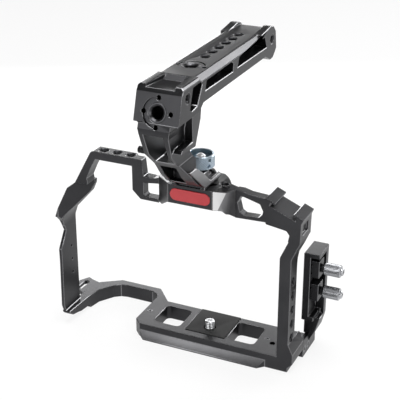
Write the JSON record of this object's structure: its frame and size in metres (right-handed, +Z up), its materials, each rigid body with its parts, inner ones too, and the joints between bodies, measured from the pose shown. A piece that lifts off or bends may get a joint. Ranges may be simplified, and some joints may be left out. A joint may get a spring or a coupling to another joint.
{
  "type": "camera cage",
  "caption": "Open camera cage with a base plate, a hand grip opening, a tapped side column, a cold shoe, a clamped top handle and a cable clamp.",
  "frame": {"origin": "camera screw's axis at the lower plate's top face", "axes": "+X to the port side with the cable clamp, +Y to the viewer's side, +Z up along the camera screw"},
  "size_m": [0.2001, 0.1495, 0.205],
  "materials": {
    "anodised_aluminium": "bead blasted, dark grey anodised",
    "bare_aluminium": "ground, clear",
    "steel": "turned",
    "knob_steel": "knurled, blue grey",
    "black_steel": "black oxide",
    "red_plate": "satin red",
    "rubber": "moulded, matt"
  },
  "bodies": {
    "cage": {"base_plate": "anodised_aluminium", "grip_arm": "anodised_aluminium", "grip_upright": "anodised_aluminium", "grip_shoulder": "anodised_aluminium", "top_bar": "anodised_aluminium", "front_bridge": "anodised_aluminium", "centre_block": "anodised_aluminium", "top_rail": "anodised_aluminium", "shoulder_wing": "anodised_aluminium", "cold_shoe": "anodised_aluminium", "side_upright": "anodised_aluminium", "base_pad": "rubber", "name_plate": "red_plate", "base_set_screws": "steel", "cable_bracket": "anodised_aluminium", "bracket_foot": "anodised_aluminium", "foot_screws": "steel"},
    "screw": {"camera_screw": "steel"},
    "jaw_upper": {"upper_jaw": "anodised_aluminium"},
    "thumb_upper": {"upper_thumbscrew": "steel"},
    "jaw_lower": {"lower_jaw": "anodised_aluminium"},
    "thumb_lower": {"lower_thumbscrew": "steel"},
    "handle": {"handle_grip": "anodised_aluminium", "handle_leg": "anodised_aluminium", "handle_foot": "anodised_aluminium", "thread_inserts": "steel", "leg_boss": "black_steel", "clamp_stud": "steel"},
    "knob": {"clamp_knob": "knob_steel"},
    "jaw": {"clamp_jaw": "bare_aluminium", "jaw_guide_pins": "steel"}
  },
  "joints": [
    {"name": "camera_screw_turn", "type": "hinge", "parent": "cage", "child": "screw", "pos_m": [0, 0, 0], "axis": [0, 0, 1], "continuous": true},
    {"name": "upper_jaw_slide", "type": "slide", "parent": "cage", "child": "jaw_upper", "axis": [1, 0, 0], "range_m": [0, 0.004]},
    {"name": "upper_thumb_turn", "type": "hinge", "parent": "jaw_upper", "child": "thumb_upper", "pos_m": [0.0715, 0.016, 0.054], "axis": [1, 0, 0], "range_deg": [0, 2880]},
    {"name": "lower_jaw_slide", "type": "slide", "parent": "cage", "child": "jaw_lower", "axis": [1, 0, 0], "range_m": [0, 0.004]},
    {"name": "lower_thumb_turn", "type": "hinge", "parent": "jaw_lower", "child": "thumb_lower", "pos_m": [0.0715, 0.016, 0.0373], "axis": [1, 0, 0], "range_deg": [0, 2880]},
    {"name": "handle_slide", "type": "slide", "parent": "cage", "child": "handle", "axis": [0, -1, 0], "range_m": [0, 0.006]},
    {"name": "knob_turn", "type": "hinge", "parent": "handle", "child": "knob", "pos_m": [0.0036, -0.0227, 0.1283], "axis": [0, 0, 1], "range_deg": [0, 720]},
    {"name": "clamp_jaw_slide", "type": "slide", "parent": "handle", "child": "jaw", "axis": [1, 0, 0], "range_m": [0, 0.0025]}
  ],
  "couplings": [
    {"joint": "upper_jaw_slide", "follows": "upper_thumb_turn", "m_per_rad": 0.000079577},
    {"joint": "lower_jaw_slide", "follows": "lower_thumb_turn", "m_per_rad": 0.000079577},
    {"joint": "clamp_jaw_slide", "follows": "knob_turn", "m_per_rad": 0.00019894}
  ]
}
